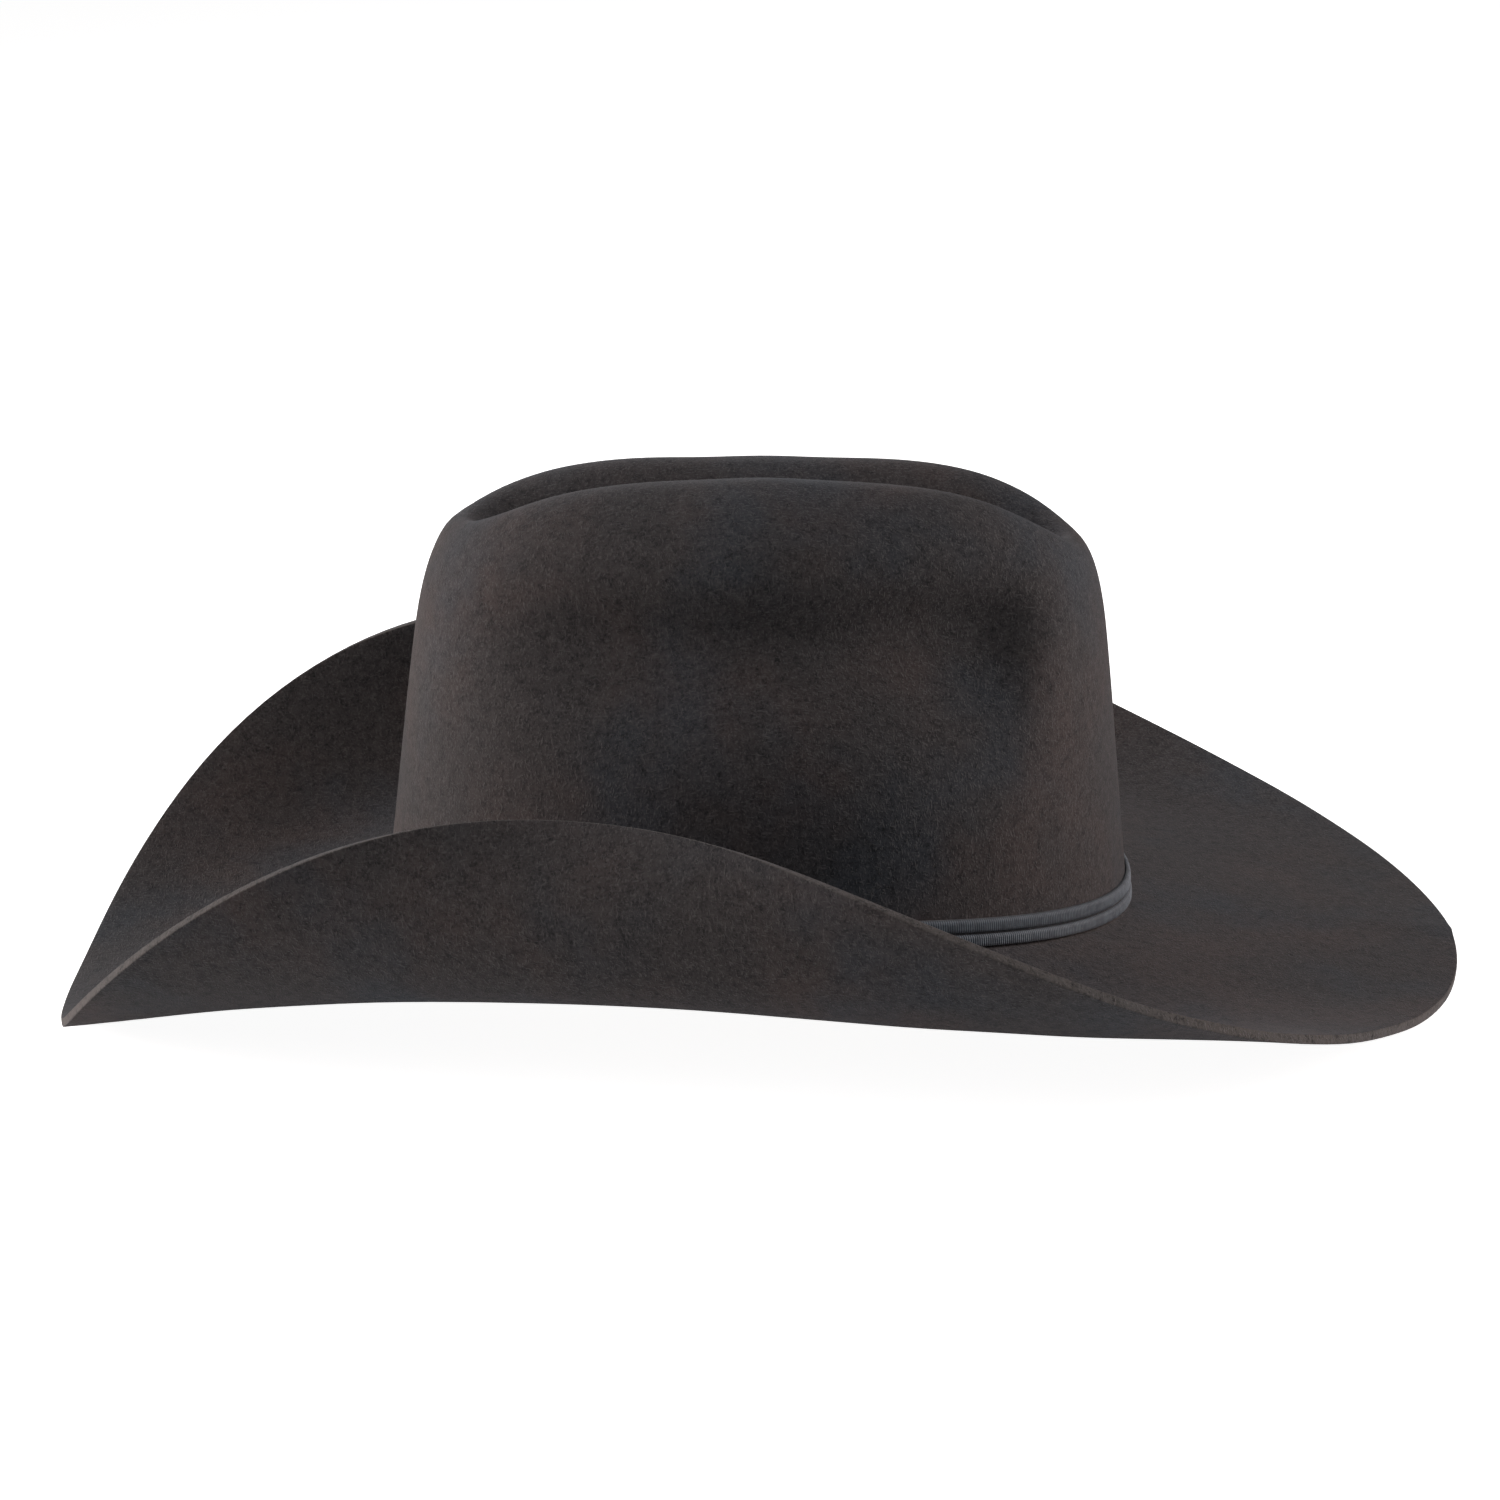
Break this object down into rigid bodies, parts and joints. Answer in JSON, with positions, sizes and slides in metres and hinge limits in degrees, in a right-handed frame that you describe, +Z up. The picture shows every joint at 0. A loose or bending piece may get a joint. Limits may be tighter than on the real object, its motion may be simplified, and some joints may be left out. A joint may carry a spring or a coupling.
{
  "type": "cowboy hat",
  "caption": "Western felt hat with a creased, side-dented crown, a curled wide brim, a narrow ribbed band and a leather sweatband inside.",
  "frame": {"origin": "centre of the hat's outline in plan, on the ground it rests on with the front and back of its brim", "axes": "+X to the front of the hat, +Y to the wearer's left, +Z up through the crown"},
  "size_m": [0.3996, 0.3142, 0.1527],
  "materials": {
    "felt": "dark brown fur felt, mottled, short nap, matt",
    "ribbon": "slate-grey ribbed ribbon",
    "band_thread": "dark twisted thread",
    "sweat_leather": "tan sheepskin, smooth, slight sheen",
    "lining_satin": "brown satin, soft sheen",
    "clear_cover": "clear flexible plastic",
    "reed_plastic": "off-white plastic reed",
    "cotton": "brown cotton tape and thread",
    "label_paper": "plain off-white tag, no text"
  },
  "bodies": {
    "root": {"felt_body": "felt", "hatband_lower_row": "ribbon", "hatband_upper_row": "ribbon", "hatband_centre_stitch": "band_thread", "bow_knot": "ribbon", "bow_front_loop": "ribbon", "bow_back_loop": "ribbon", "bow_front_tail": "ribbon", "bow_back_tail": "ribbon", "sweatband": "sweat_leather", "sweatband_seam_tape": "cotton", "sweatband_seam_stitch": "cotton", "sweatband_bow_knot": "ribbon", "sweatband_bow_left": "ribbon", "sweatband_bow_right": "ribbon", "reed_tape": "cotton", "reed": "reed_plastic", "reed_stitch": "cotton", "size_label": "label_paper", "lining_side": "lining_satin", "lining_tip": "lining_satin", "lining_piping": "ribbon", "tip_protector": "clear_cover", "tip_protector_stitch": "band_thread"}
  },
  "joints": []
}
